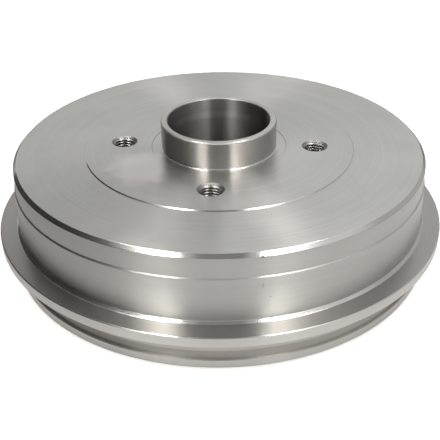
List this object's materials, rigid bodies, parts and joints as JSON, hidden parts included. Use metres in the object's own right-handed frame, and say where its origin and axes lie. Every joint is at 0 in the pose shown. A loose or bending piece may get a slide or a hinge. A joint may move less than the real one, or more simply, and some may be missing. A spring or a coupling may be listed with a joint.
{
  "type": "brake drum",
  "caption": "Rear brake drum with integral hub: flanged iron drum open below, raised wheel face with tapped bolt holes, tall centring collar and wheel-bearing bore.",
  "frame": {"origin": "where the axle's line crosses the plane of the raised wheel face, inside the bore that the bearing goes in through", "axes": "+Z along the axle's line, out of the car through the centring collar; the drum opens towards -Z; +X through a bolt hole"},
  "size_m": [0.2345, 0.2344, 0.0729],
  "materials": {
    "turned_iron": "bare, finely turned, with a faint circular grain"
  },
  "bodies": {
    "root": {"brake_drum": "turned_iron"}
  },
  "joints": []
}
